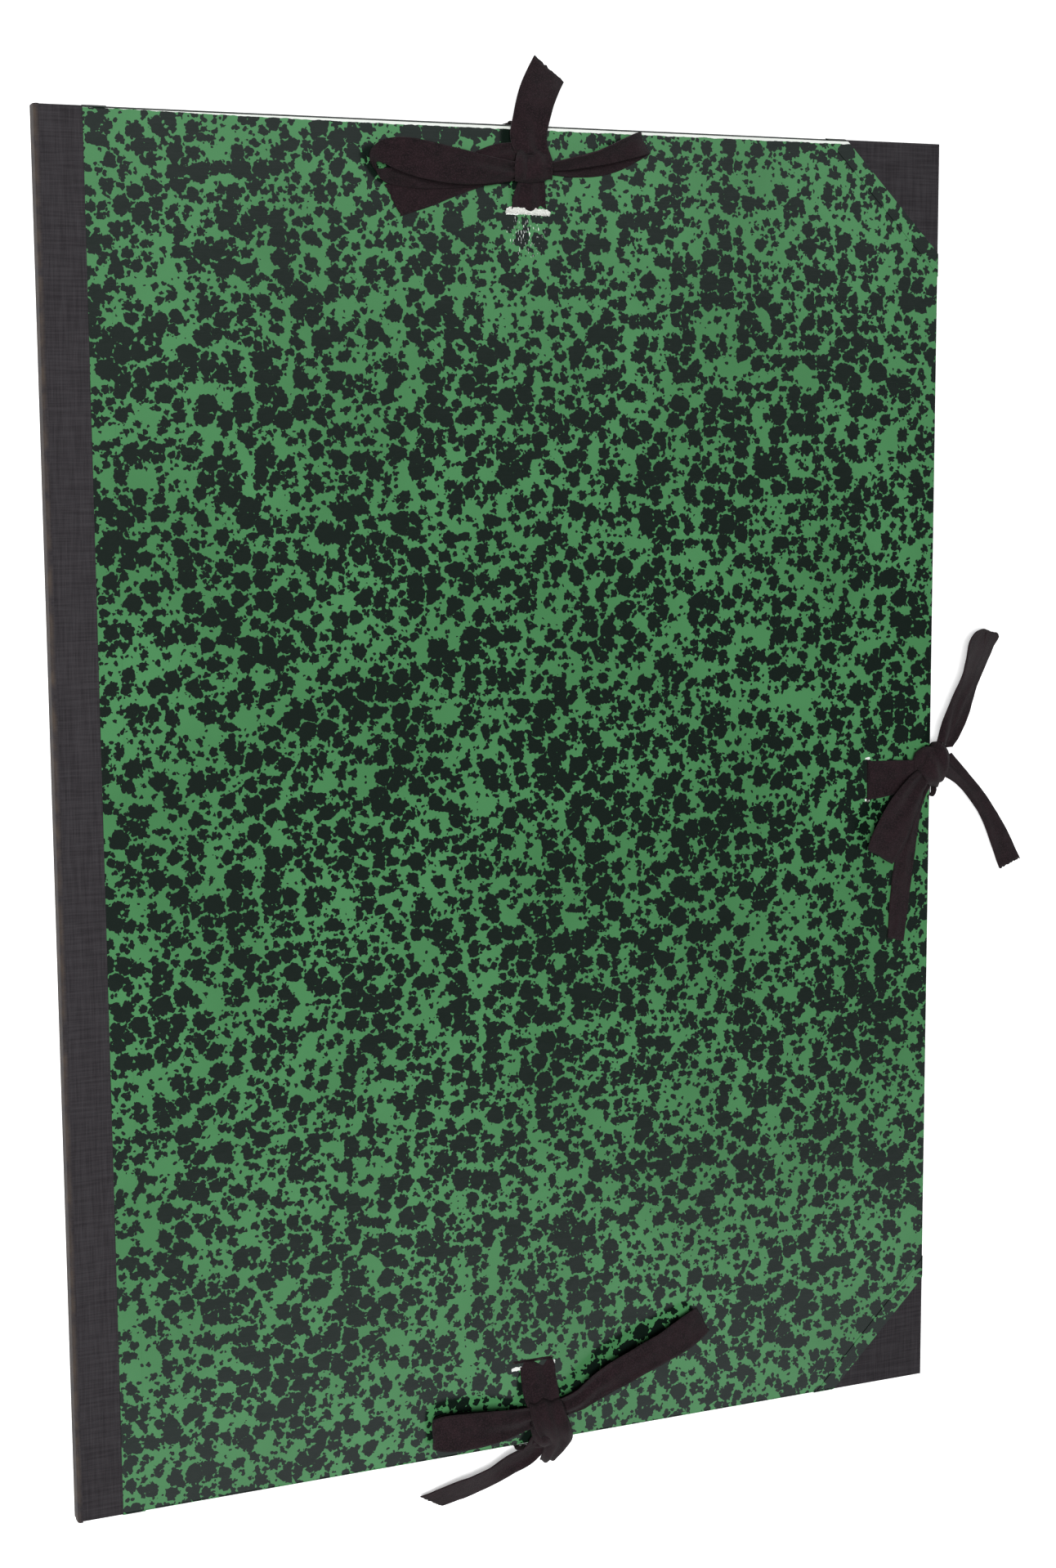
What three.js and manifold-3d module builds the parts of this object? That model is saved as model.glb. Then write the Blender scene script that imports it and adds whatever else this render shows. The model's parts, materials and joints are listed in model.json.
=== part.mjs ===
// Art portfolio folder: two paper-covered boards on a cloth spine, with cloth corners,
// held shut by three pairs of ribbons tied in bows. It lies on its back cover.
// Millimetres. +X points to the fore edge, +Y to the head, +Z out of the front cover.
// The origin is the centre of the back cover's outer face.

import * as THREE from 'three';
import * as BufferGeometryUtils from 'three/addons/utils/BufferGeometryUtils.js';
import Module from 'manifold-3d';

const wasm = await Module();
wasm.setup();

// Overall sizes of the closed folder
const coverWidth = 370;
const coverHeight = 520;
const closedThickness = 8;

// Layers of one cover, from the outside in
const skinThickness = 0.3;
const boardThickness = 2.5;
const turnInThickness = 0.3;
const liningThickness = 0.3;

// Edges and turn-ins
const skinEdgeRadius = 1;
const boardEdgeRadius = 0.9;
const wrapInnerRadius = 0.6;
const turnInWidth = 18;
const liningSetBack = 5;

// Cloth spine, its laps on the covers, and the cloth corners
const spineFoldRadius = 1;
const spineLapWidth = 17;
const hingeGap = 2.5;
const hingeClearance = 0.5;
const hingeLiningWidth = 24;
const hingeLiningShow = 8;
const cornerLeg = 44;
const paperLap = 4;
const sheetGap = 0.3;

// Ribbons, their slits and where each pair is tied
const ribbonWidth = 16;
const ribbonThickness = 0.3;
const bowThickness = 0.5;
const slitLength = 17.5;
const slitWidth = 1.2;
const anchorLength = 22;
const stubDrop = 1;
const stubGap = 0.3;
const rampRun = 4;
const topTieX = 2.2;
const topSlitInset = 31.6;
const bottomTieX = 1.4;
const bottomSlitInset = 34.9;
const sideTieY = 0.9;
const sideSlitInset = 30.3;

const materials = {
  marbledPaper: new THREE.MeshStandardMaterial({ color: 0x35503f, roughness: 0.3, metalness: 0 }),
  bookCloth: new THREE.MeshStandardMaterial({ color: 0x3d393c, roughness: 0.85, metalness: 0 }),
  greyboard: new THREE.MeshStandardMaterial({ color: 0x8d8a84, roughness: 0.9, metalness: 0 }),
  liningPaper: new THREE.MeshStandardMaterial({ color: 0xe6e0d2, roughness: 0.8, metalness: 0 }),
  ribbon: new THREE.MeshStandardMaterial({ color: 0x2d1e21, roughness: 0.6, metalness: 0 }),
};

const halfWidth = coverWidth / 2;
const halfHeight = coverHeight / 2;
const skinDepth = skinThickness;
const boardDepth = skinDepth + boardThickness;
const turnInDepth = boardDepth + turnInThickness;
const liningDepth = turnInDepth + liningThickness;
const boardLeft = -halfWidth + hingeGap;
const lapStart = -halfWidth + spineFoldRadius + hingeClearance;
const paperStart = -halfWidth + spineLapWidth;
const reach = 5 * closedThickness;

// A closed geometry as a solid that can be joined and cut
function solidOf(geometry) {
  const bare = geometry.clone();
  bare.deleteAttribute('normal');
  bare.deleteAttribute('uv');
  const merged = BufferGeometryUtils.mergeVertices(bare, 1e-5);
  return new wasm.Manifold(new wasm.Mesh({
    numProp: 3,
    vertProperties: new Float32Array(merged.attributes.position.array),
    triVerts: new Uint32Array(merged.index.array),
  }));
}

function geometryOf(solid) {
  const mesh = solid.getMesh();
  const geometry = new THREE.BufferGeometry();
  geometry.setAttribute('position', new THREE.BufferAttribute(new Float32Array(mesh.vertProperties), 3));
  geometry.setIndex(new THREE.BufferAttribute(new Uint32Array(mesh.triVerts), 1));
  geometry.computeVertexNormals();
  return geometry;
}

function meshOf(name, solid, material) {
  const mesh = new THREE.Mesh(geometryOf(solid), material.clone());
  mesh.name = name;
  return mesh;
}

// A slab between two corners, in part axes
function block(x0, x1, y0, y1, z0, z1) {
  const geometry = new THREE.BoxGeometry(x1 - x0, y1 - y0, Math.abs(z1 - z0));
  geometry.translate((x0 + x1) / 2, (y0 + y1) / 2, (z0 + z1) / 2);
  return solidOf(geometry);
}

// A slab whose long edges are rounded on both faces
function roundedSlab(x0, x1, y0, y1, z0, z1, radius) {
  const outline = new THREE.Shape();
  outline.moveTo(x0, y0);
  outline.lineTo(x1, y0);
  outline.lineTo(x1, y1);
  outline.lineTo(x0, y1);
  outline.closePath();
  const low = Math.min(z0, z1);
  const height = Math.abs(z1 - z0);
  const geometry = new THREE.ExtrudeGeometry(outline, {
    depth: height - 2 * radius,
    bevelEnabled: true,
    bevelThickness: radius,
    bevelSize: radius,
    bevelOffset: -radius,
    bevelSegments: 3,
    curveSegments: 1,
  });
  geometry.translate(0, 0, low + radius);
  return solidOf(geometry);
}

// An upright prism over a list of [x, y] corners
function prism(corners, z0, z1) {
  const outline = new THREE.Shape(corners.map(([x, y]) => new THREE.Vector2(x, y)));
  const geometry = new THREE.ExtrudeGeometry(outline, { depth: z1 - z0, bevelEnabled: false });
  geometry.translate(0, 0, z0);
  return solidOf(geometry);
}

// The corner of a cover, cut off by a diagonal with the given legs. ySign picks head or tail.
function cornerPrism(leg, ySign) {
  const x = halfWidth + reach;
  const y = ySign * (halfHeight + reach);
  return prism([
    [x, ySign * (halfHeight - leg) - ySign * reach],
    [x, y],
    [halfWidth - leg - reach, y],
  ], -reach, reach);
}

// The three slits of a cover, as the spaces that are cut out
function slits() {
  const long = slitLength / 2;
  const wide = slitWidth / 2;
  const topY = halfHeight - topSlitInset;
  const bottomY = -halfHeight + bottomSlitInset;
  const sideX = halfWidth - sideSlitInset;
  return block(topTieX - long, topTieX + long, topY - wide, topY + wide, -reach, reach)
    .add(block(bottomTieX - long, bottomTieX + long, bottomY - wide, bottomY + wide, -reach, reach))
    .add(block(sideX - wide, sideX + wide, sideTieY - long, sideTieY + long, -reach, reach));
}

// One cover in its own frame, with z = 0 on its outer face.
// facing is 1 when the outer face looks up and -1 when it looks down.
function makeCover(prefix, facing) {
  const at = (depth) => -facing * depth;
  const cover = new THREE.Group();
  const openSlits = slits();

  const board = roundedSlab(
    boardLeft, halfWidth - skinThickness, -halfHeight + skinThickness, halfHeight - skinThickness,
    at(skinDepth), at(boardDepth), boardEdgeRadius,
  ).subtract(openSlits);

  // The space round the board that its skins leave free, and the wrap of skin outside it
  const boardSpace = roundedSlab(
    -halfWidth - reach, halfWidth - skinThickness,
    -halfHeight + skinThickness, halfHeight - skinThickness,
    at(skinDepth), at(boardDepth), wrapInnerRadius,
  );
  const window = block(
    -halfWidth - reach, halfWidth - turnInWidth, -halfHeight + turnInWidth, halfHeight - turnInWidth,
    at(boardDepth - skinThickness), at(turnInDepth + skinThickness),
  );
  const wrapSlab = (grow, radius) => roundedSlab(
    -halfWidth - reach, halfWidth + grow, -halfHeight - grow, halfHeight + grow,
    at(-grow), at(turnInDepth), radius,
  );
  const wrap = wrapSlab(0, skinEdgeRadius);
  const lapCutter = wrapSlab(0, wrapInnerRadius);
  const raisedWrap = wrapSlab(skinThickness, skinEdgeRadius + skinThickness);
  const outerHalf = block(
    -halfWidth - reach, halfWidth + reach, -halfHeight - reach, halfHeight + reach,
    at(-reach), at(boardDepth / 2),
  );

  // Cloth: a strip along the spine and a patch on each fore corner
  const hollowWrap = wrap.subtract(boardSpace).subtract(window);
  const spineCloth = hollowWrap.intersect(block(
    lapStart, paperStart + paperLap, -halfHeight - reach, halfHeight + reach, -reach, reach,
  ));
  const clothCorner = (ySign) => hollowWrap.intersect(cornerPrism(cornerLeg + paperLap, ySign));

  // Paper: laid over the cloth, so its laps stand one cloth thickness higher
  const lapEnd = paperLap + sheetGap;
  const lapZones = block(
    paperStart, paperStart + 2 * lapEnd, -halfHeight - reach, halfHeight + reach, -reach, reach,
  ).add(cornerPrism(cornerLeg + 2 * lapEnd, 1)).add(cornerPrism(cornerLeg + 2 * lapEnd, -1));
  const clothZones = block(
    -halfWidth - reach, paperStart + lapEnd, -halfHeight - reach, halfHeight + reach, -reach, reach,
  ).add(cornerPrism(cornerLeg + lapEnd, 1)).add(cornerPrism(cornerLeg + lapEnd, -1));
  const bareCloth = block(
    -halfWidth - 2 * reach, paperStart, -halfHeight - 2 * reach, halfHeight + 2 * reach, -reach, reach,
  ).add(cornerPrism(cornerLeg, 1)).add(cornerPrism(cornerLeg, -1));
  const paper = wrap.add(raisedWrap.intersect(lapZones).intersect(outerHalf))
    .subtract(lapCutter.intersect(clothZones))
    .subtract(bareCloth)
    .subtract(boardSpace)
    .subtract(window)
    .subtract(openSlits);

  const lining = block(
    -halfWidth + liningSetBack + hingeLiningShow, halfWidth - liningSetBack,
    -halfHeight + liningSetBack, halfHeight - liningSetBack,
    at(turnInDepth), at(liningDepth),
  );
  const hingeLining = block(
    lapStart, lapStart + hingeLiningWidth,
    -halfHeight + turnInWidth + sheetGap, halfHeight - turnInWidth - sheetGap,
    at(boardDepth), at(turnInDepth),
  );

  cover.add(
    meshOf(`${prefix}_board`, board, materials.greyboard),
    meshOf(`${prefix}_cover_paper`, paper, materials.marbledPaper),
    meshOf(`${prefix}_lining_paper`, lining, materials.liningPaper),
    meshOf(`${prefix}_spine_cloth`, spineCloth, materials.bookCloth),
    meshOf(`${prefix}_top_corner_cloth`, clothCorner(1), materials.bookCloth),
    meshOf(`${prefix}_bottom_corner_cloth`, clothCorner(-1), materials.bookCloth),
    meshOf(`${prefix}_hinge_lining`, hingeLining, materials.bookCloth),
  );
  return cover;
}

// The cloth that stands between the two covers, folded a little way onto each, and its lining
function makeSpine() {
  const spine = new THREE.Group();
  const outer = -halfWidth;
  const foldX = outer + spineFoldRadius;
  const innerRadius = spineFoldRadius - skinThickness;
  const profile = new THREE.Shape();
  profile.moveTo(foldX, 0);
  profile.absarc(foldX, spineFoldRadius, spineFoldRadius, 1.5 * Math.PI, Math.PI, true);
  profile.lineTo(outer, closedThickness - spineFoldRadius);
  profile.absarc(foldX, closedThickness - spineFoldRadius, spineFoldRadius, Math.PI, 0.5 * Math.PI, true);
  profile.lineTo(foldX, closedThickness - skinThickness);
  profile.absarc(foldX, closedThickness - spineFoldRadius, innerRadius, 0.5 * Math.PI, Math.PI, false);
  profile.lineTo(outer + skinThickness, spineFoldRadius);
  profile.absarc(foldX, spineFoldRadius, innerRadius, Math.PI, 1.5 * Math.PI, false);
  profile.closePath();
  const cloth = new THREE.ExtrudeGeometry(profile, {
    depth: coverHeight, bevelEnabled: false, curveSegments: 4,
  });
  cloth.rotateX(Math.PI / 2);
  cloth.translate(0, halfHeight, 0);

  const lining = block(
    outer + skinThickness, outer + skinThickness + liningThickness,
    -halfHeight + turnInWidth, halfHeight - turnInWidth,
    spineFoldRadius, closedThickness - spineFoldRadius,
  );
  spine.add(
    meshOf('spine_cloth', solidOf(cloth), materials.bookCloth),
    meshOf('spine_lining', lining, materials.bookCloth),
  );
  return spine;
}

// A ribbon between two edges. Each station is [left edge point, right edge point].
// steps is how many short lengths each span is curved in; 1 keeps the folds sharp.
function ribbonSolid(stations, thickness, steps) {
  const edges = [0, 1].map((side) => stations.map((station) => new THREE.Vector3(...station[side])));
  const curves = edges.map((points) => new THREE.CatmullRomCurve3(points, false, 'centripetal'));
  const count = (stations.length - 1) * steps;
  const left = [];
  const right = [];
  for (let i = 0; i <= count; i += 1) {
    left.push(steps > 1 ? curves[0].getPoint(i / count) : edges[0][i]);
    right.push(steps > 1 ? curves[1].getPoint(i / count) : edges[1][i]);
  }
  const middle = left.map((point, i) => point.clone().add(right[i]).multiplyScalar(0.5));
  const across = left.map((point, i) => right[i].clone().sub(point));
  const spanNormals = middle.slice(1).map((point, i) => {
    const along = point.clone().sub(middle[i]);
    const side = across[i].clone().add(across[i + 1]);
    return along.cross(side).normalize();
  });
  const positions = [];
  for (let i = 0; i <= count; i += 1) {
    const before = spanNormals[Math.max(i - 1, 0)];
    const after = spanNormals[Math.min(i, count - 1)];
    const normal = before.clone().add(after).normalize();
    const offset = normal.clone().multiplyScalar(thickness / 2 / Math.max(normal.dot(after), 0.5));
    for (const corner of [
      left[i].clone().add(offset), right[i].clone().add(offset),
      right[i].clone().sub(offset), left[i].clone().sub(offset),
    ]) {
      positions.push(corner.x, corner.y, corner.z);
    }
  }
  const index = [0, 2, 1, 0, 3, 2];
  for (let i = 0; i < count; i += 1) {
    for (let corner = 0; corner < 4; corner += 1) {
      const a = 4 * i + corner;
      const b = 4 * i + ((corner + 1) % 4);
      index.push(a, b, b + 4, a, b + 4, a + 4);
    }
  }
  const last = 4 * count;
  index.push(last, last + 1, last + 2, last, last + 2, last + 3);
  if (Math.sign(signedVolume(positions, index)) < 0) {
    for (let i = 0; i < index.length; i += 3) {
      [index[i + 1], index[i + 2]] = [index[i + 2], index[i + 1]];
    }
  }
  const geometry = new THREE.BufferGeometry();
  geometry.setAttribute('position', new THREE.Float32BufferAttribute(positions, 3));
  geometry.setIndex(index);
  return solidOf(geometry);
}

function signedVolume(positions, index) {
  let volume = 0;
  for (let i = 0; i < index.length; i += 3) {
    const [a, b, c] = [0, 1, 2].map((k) => new THREE.Vector3().fromArray(positions, 3 * index[i + k]));
    volume += a.dot(b.cross(c)) / 6;
  }
  return volume;
}

// A tie's own frame: x across the ribbon, y outward over the cover's edge, z = 0 on the front face.
// Each list follows a ribbon as [left edge, right edge], chosen by hand.
const topBowRibbons = [
  // left loop, out along its upper layer and back along the lower one
  [
    [[-11, -14, 5], [-11, -21, 7]],
    [[-30, -11, 8], [-29, -24, 11]],
    [[-48, -7, 9], [-47, -21, 12]],
    [[-62, -5, 7], [-61, -19, 9]],
    [[-68, -6, 4], [-67, -20, 4.5]],
    [[-62, -8, 1.5], [-60, -23, 1.2]],
    [[-47, -11, 0.9], [-45, -26, 0.9]],
    [[-30, -14, 0.9], [-28, -27, 0.9]],
    [[-10, -16, 2.5], [-10, -23, 2.5]],
  ],
  // left tail, lying on the cover
  [
    [[-8, -17, 2.5], [-8, -23, 2.5]],
    [[-27, -20, 0.6], [-24, -32, 0.6]],
    [[-55, -20, 0.5], [-51, -34.5, 0.5]],
  ],
  // right loop
  [
    [[3, -15, 6], [3, -21, 7]],
    [[24, -8, 8], [26, -20, 9]],
    [[42, -2, 7], [44, -15, 7.5]],
    [[49, -2, 4], [50, -13, 4]],
    [[43, -6, 1.5], [42, -20, 1.2]],
    [[26, -13, 0.9], [24, -26, 0.9]],
    [[3, -16, 2.5], [3, -22, 2.5]],
  ],
  // tail that runs out over the head of the cover
  [
    [[-10, -12, 6], [4, -13, 7]],
    [[-7, 3, 4], [9.5, 2, 3.5]],
    [[-1, 15, 1], [15, 11, 0.5]],
    [[4.5, 26, -2], [16.5, 17, -2]],
  ],
];
const topKnot = { centre: [-3.5, -18, 5], radii: [10, 9, 4.4] };

const sideBowRibbons = [
  // loop towards the head, turned nearly on edge
  [
    [[-15, 0, 6], [-10, 5, 5]],
    [[-29, 5, 5], [-26, 16, 0]],
    [[-44, 12, 5], [-42, 24, -3]],
    [[-57, 20, 4], [-56, 33, -4.5]],
    [[-61.5, 22, 2], [-59.5, 35, -6.2]],
    [[-56, 19, 0], [-53, 28, -7.1]],
    [[-42, 11, 0], [-39, 19, -6.4]],
    [[-28, 4, 0.6], [-24, 11, -4]],
    [[-14, 0, 3], [-9, 4, 1.5]],
  ],
  // tail that hangs over the fore edge
  [
    [[-4, -1, 3.5], [-10, 3, 3.5]],
    [[7, 11, -2], [-1, 20, -1]],
    [[21, 22, -5], [13, 34, -4]],
    [[43, 41, -7.1], [37.5, 50, -6.9]],
  ],
  // loop towards the tail, lying over the cover
  [
    [[-5, -12, 6], [0, -5, 6]],
    [[9, -25, 8], [15, -12, 8]],
    [[21, -31, 8], [30, -16, 7]],
    [[30, -32, 5], [40, -18, 4.5]],
    [[27, -30, 1.3], [36, -16, 1.3]],
    [[14, -18, 0.9], [21, -8, 0.9]],
    [[3, -8, 3], [4, -2, 3]],
  ],
  // tail that lies along the fore edge
  [
    [[-2, -9, 3], [0, -1, 3]],
    [[21, -15, 0.8], [23, -2.5, 0.8]],
    [[43, -18, 0.5], [45, -5, 0.5]],
    [[66.5, -19.5, 0.5], [67.3, -10, 0.5]],
  ],
];
const sideKnot = { centre: [-8, -4, 5.2], radii: [9.5, 10.5, 4.6] };

const bottomBowRibbons = [
  // left loop
  [
    [[3, -16, 5.5], [3, -8, 5.5]],
    [[19, -19, 8], [19, -5, 8]],
    [[34, -21, 8], [34, -5, 7.5]],
    [[44.5, -21.5, 4], [44, -5.5, 4]],
    [[38, -20, 1.2], [37, -4, 1.2]],
    [[19, -17, 0.9], [19, -3, 0.9]],
    [[2, -14, 2], [2, -6, 2]],
  ],
  // right loop
  [
    [[-8, -18, 4], [-11, -12, 5]],
    [[-28, -33, 6], [-32, -19, 7]],
    [[-50, -41, 7], [-54, -27, 7]],
    [[-68, -47, 5], [-75, -34.5, 4.5]],
    [[-65, -44, 1.3], [-70, -31, 1.2]],
    [[-46, -37, 0.9], [-50, -24, 0.9]],
    [[-28, -29, 0.9], [-31, -17, 0.9]],
    [[-9, -17, 2.2], [-12, -11, 2.2]],
  ],
  // tail that hangs over the tail of the cover
  [
    [[0, -3, 3], [-4, 1, 3]],
    [[13, 4, -1.5], [10, 15, -2]],
    [[29, 6, -5.3], [26, 20, -5.6]],
    [[46.5, 17, -7], [37, 22.3, -7]],
  ],
];
const bottomKnot = { centre: [-5.5, -7.5, 5], radii: [10.5, 11.5, 4.5] };

// The three ties. turn sets a tie's frame on its edge of the cover.
const ties = [
  {
    name: 'top', at: [topTieX, halfHeight], turn: 0, inset: topSlitInset,
    ribbons: topBowRibbons, knot: topKnot,
  },
  {
    name: 'side', at: [halfWidth, sideTieY], turn: -Math.PI / 2, inset: sideSlitInset,
    ribbons: sideBowRibbons, knot: sideKnot,
  },
  {
    name: 'bottom', at: [bottomTieX, -halfHeight], turn: Math.PI, inset: bottomSlitInset,
    ribbons: bottomBowRibbons, knot: bottomKnot,
  },
];

// Stations of a ribbon of full width that follows a list of [y, z] points
function straightStations(route) {
  const half = ribbonWidth / 2;
  return route.map(([y, z]) => [[-half, y, z], [half, y, z]]);
}

// The ribbon of the front cover: its glued end, its way through the slit and up to the knot
function frontRibbon(tie) {
  const inside = -(boardDepth + turnInDepth) / 2;
  const onFace = ribbonThickness / 2;
  const rampEnd = tie.knot.centre[1] - tie.knot.radii[1] - stubGap;
  return ribbonSolid(straightStations([
    [-tie.inset - anchorLength, inside],
    [-tie.inset, inside],
    [-tie.inset, onFace],
    [rampEnd - rampRun, onFace],
    [rampEnd, tie.knot.centre[2] - bowThickness],
  ]), ribbonThickness, 1);
}

// The ribbon of the back cover: glued end, slit, across the back and up beside both edges
function backRibbon(tie) {
  const onFace = -ribbonThickness / 2;
  const beside = ribbonThickness / 2 + stubGap;
  return ribbonSolid(straightStations([
    [-tie.inset - anchorLength, (boardDepth + turnInDepth) / 2],
    [-tie.inset, (boardDepth + turnInDepth) / 2],
    [-tie.inset, onFace],
    [beside, onFace],
    [beside, closedThickness - stubDrop],
  ]), ribbonThickness, 1);
}

// The tied bow: the knot, its loops and tails, and the length that comes up over the edge
function bow(tie) {
  const ball = new THREE.SphereGeometry(1, 14, 8);
  ball.scale(...tie.knot.radii);
  ball.translate(...tie.knot.centre);
  const half = ribbonWidth / 2;
  const beside = bowThickness / 2 + stubGap;
  const [knotX, knotY, knotZ] = tie.knot.centre;
  const overEdge = ribbonSolid([
    [[-half, beside, stubGap - stubDrop], [half, beside, stubGap - stubDrop]],
    [[-half, beside, beside], [half, beside, beside]],
    [[knotX - half / 2, knotY, knotZ], [knotX + half / 2, knotY, knotZ]],
  ], bowThickness, 1);
  return tie.ribbons.reduce(
    (solid, stations) => solid.add(ribbonSolid(stations, bowThickness, 2)),
    solidOf(ball).add(overEdge),
  );
}

// Meshes of a tie go in a group that carries the tie's frame
function tieGroup(tie, mesh, height) {
  const group = new THREE.Group();
  group.position.set(tie.at[0], tie.at[1], height);
  group.rotation.z = tie.turn;
  group.add(mesh);
  return group;
}

const backCover = makeCover('back', -1);
const frontCover = makeCover('front', 1);
frontCover.position.z = closedThickness;
for (const tie of ties) {
  const ribbonMaterial = materials.ribbon;
  backCover.add(tieGroup(tie, meshOf(`back_${tie.name}_ribbon`, backRibbon(tie), ribbonMaterial), 0));
  frontCover.add(tieGroup(tie, meshOf(`front_${tie.name}_ribbon`, frontRibbon(tie), ribbonMaterial), 0));
  frontCover.add(tieGroup(tie, meshOf(`${tie.name}_bow`, bow(tie), ribbonMaterial), 0));
}

const folder = new THREE.Group();
folder.name = 'art_portfolio_folder';
folder.add(backCover, makeSpine(), frontCover);

export default folder;
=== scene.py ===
"""Looks of the art portfolio folder: marbled paper, book cloth, ribbons and their bows. Metres."""
import json
import math

import bmesh
import bpy
import numpy as np
from mathutils import Matrix, Vector
from mathutils import noise as mnoise


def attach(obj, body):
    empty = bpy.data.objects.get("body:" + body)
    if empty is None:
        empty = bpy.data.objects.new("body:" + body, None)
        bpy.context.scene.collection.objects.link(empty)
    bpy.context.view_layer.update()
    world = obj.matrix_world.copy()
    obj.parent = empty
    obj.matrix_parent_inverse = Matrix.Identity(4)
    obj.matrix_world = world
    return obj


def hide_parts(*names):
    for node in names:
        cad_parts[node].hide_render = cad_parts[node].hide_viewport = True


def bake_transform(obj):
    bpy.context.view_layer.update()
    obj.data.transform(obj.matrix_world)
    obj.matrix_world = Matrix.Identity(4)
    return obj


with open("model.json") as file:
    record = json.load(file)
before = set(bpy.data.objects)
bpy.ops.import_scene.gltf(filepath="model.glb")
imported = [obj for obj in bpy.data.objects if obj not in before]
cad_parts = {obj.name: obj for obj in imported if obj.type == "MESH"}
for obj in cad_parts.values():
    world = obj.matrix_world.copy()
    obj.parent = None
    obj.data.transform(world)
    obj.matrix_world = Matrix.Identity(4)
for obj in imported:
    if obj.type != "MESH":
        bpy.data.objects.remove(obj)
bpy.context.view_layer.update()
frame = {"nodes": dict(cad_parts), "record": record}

MM = 0.001

# Sizes that the pieces share with the folder's boards
COVER_WIDTH = 370 * MM
COVER_HEIGHT = 520 * MM
THICKNESS = 8 * MM
HALF_WIDTH = COVER_WIDTH / 2
HALF_HEIGHT = COVER_HEIGHT / 2
CLOTH_THREAD = 0.42 * MM
RIBBON_THREAD = 0.55 * MM
FLOOR_Z = -0.4 * MM

# The photo and the camera that took it
PHOTO_WIDTH = 1292
PHOTO_HEIGHT = 1918
LENS = 58.53
SENSOR = 36
CAMERA_PLACE = Vector((-0.3922, 0.1456, 0.9119))
CAMERA_RIGHT = Vector((0.9167, -0.0061, 0.3996))
CAMERA_UP = Vector((0.0603, 0.9905, -0.1232))
CAMERA_BACK = Vector((-0.3951, 0.137, 0.9084))


# Node helpers

class Nodes:
    """Short names for the nodes of one material or world."""

    def __init__(self, owner):
        owner.use_nodes = True
        self.tree = owner.node_tree
        self.tree.nodes.clear()

    def new(self, kind, inputs=None, **settings):
        node = self.tree.nodes.new(kind)
        for name, value in settings.items():
            setattr(node, name, value)
        for key, value in (inputs or {}).items():
            self.put(node.inputs[key], value)
        return node

    def put(self, socket, value):
        if isinstance(value, bpy.types.NodeSocket):
            self.tree.links.new(value, socket)
        else:
            socket.default_value = value

    def math(self, operation, a, b=0.0, c=0.0, clamp=False):
        node = self.new("ShaderNodeMath", {0: a, 1: b, 2: c}, operation=operation, use_clamp=clamp)
        return node.outputs[0]

    def vector(self, operation, a, b=(0, 0, 0)):
        node = self.new("ShaderNodeVectorMath", {0: a, 1: b}, operation=operation)
        return node.outputs[0]

    def scaled(self, vector, factor):
        node = self.new("ShaderNodeVectorMath", {0: vector}, operation="SCALE")
        self.put(node.inputs["Scale"], factor)
        return node.outputs[0]

    def remap(self, value, low, high, to_low=0.0, to_high=1.0, smooth=False):
        kind = "SMOOTHSTEP" if smooth else "LINEAR"
        node = self.new("ShaderNodeMapRange", {0: value, 1: low, 2: high, 3: to_low, 4: to_high},
                        interpolation_type=kind)
        return node.outputs[0]

    def mix(self, factor, a, b, blend="MIX"):
        node = self.new("ShaderNodeMix", data_type="RGBA", blend_type=blend)
        self.put(node.inputs["Factor"], factor)
        self.put(node.inputs["A"], a)
        self.put(node.inputs["B"], b)
        return node.outputs["Result"]

    def noise(self, vector, size, detail=2.0, roughness=0.5, output="Fac"):
        node = self.new("ShaderNodeTexNoise", {"Vector": vector, "Scale": 1 / size,
                                               "Detail": detail, "Roughness": roughness})
        return node.outputs[output]

    def bump(self, height, distance, strength=1.0, normal=None):
        node = self.new("ShaderNodeBump", {"Height": height, "Distance": distance,
                                           "Strength": strength})
        if normal is not None:
            self.put(node.inputs["Normal"], normal)
        return node.outputs[0]


def rgba(red, green, blue):
    """A colour given in display values from 0 to 255."""
    def linear(value):
        value /= 255
        return value / 12.92 if value <= 0.04045 else ((value + 0.055) / 1.055) ** 2.4
    return (linear(red), linear(green), linear(blue), 1.0)


def surface(name, build):
    """A material whose nodes are laid out by build, which returns the shader's inputs."""
    material = bpy.data.materials.new(name)
    nodes = Nodes(material)
    place = nodes.new("ShaderNodeTexCoord").outputs["Object"]
    shader = nodes.new("ShaderNodeBsdfPrincipled", build(nodes, place))
    out = nodes.new("ShaderNodeOutputMaterial")
    nodes.put(out.inputs["Surface"], shader.outputs[0])
    return material


# Marbled paper

GREEN = rgba(71, 130, 81)
GREEN_DEEP = rgba(64, 120, 73)
# Near black of the printed blots, also used for the painted shade on the turn of the head edge
BLOT_AND_EDGE_SHADE = rgba(12, 24, 18)
# White of the bare paper at the torn slits, also used for the painted highlight along the head edge
PAPER_AND_HIGHLIGHT_WHITE = rgba(226, 230, 224)

# Spacing of the blots' cells in three sizes, and of the small lobes along their outlines
LARGE_CELL = 7.4 * MM
MIDDLE_CELL = 4.0 * MM
SMALL_CELL = 2.6 * MM
LOBE_CELL = 1.5 * MM
BLOT_EDGE = 0.07 * MM

# Each size's cells are shifted, so that they don't line up
LARGE_SHIFT = (0.0131, 0.0077, 0.0)
MIDDLE_SHIFT = (0.0411, 0.0237, 0.0)
SMALL_SHIFT = (0.0727, 0.0519, 0.0)

# Left, right, low and high ends in millimetres of the bare patches beside the slits
TORN = [
    (-6.6, 11.2, 226.9, 228.0),
    (153.4, 155.6, 10.1, 11.0),
    (153.3, 155.5, -7.2, -6.2),
    (-7.7, -3.4, -228.5, -227.1),
    (10.4, 11.3, -227.8, -226.3),
]

# Middle and reach of the scratches below the top slit
SCRATCH_SPOT = (1.5 * MM, 220 * MM, 8 * MM)
SCRATCH_REACH = 8 * MM


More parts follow.
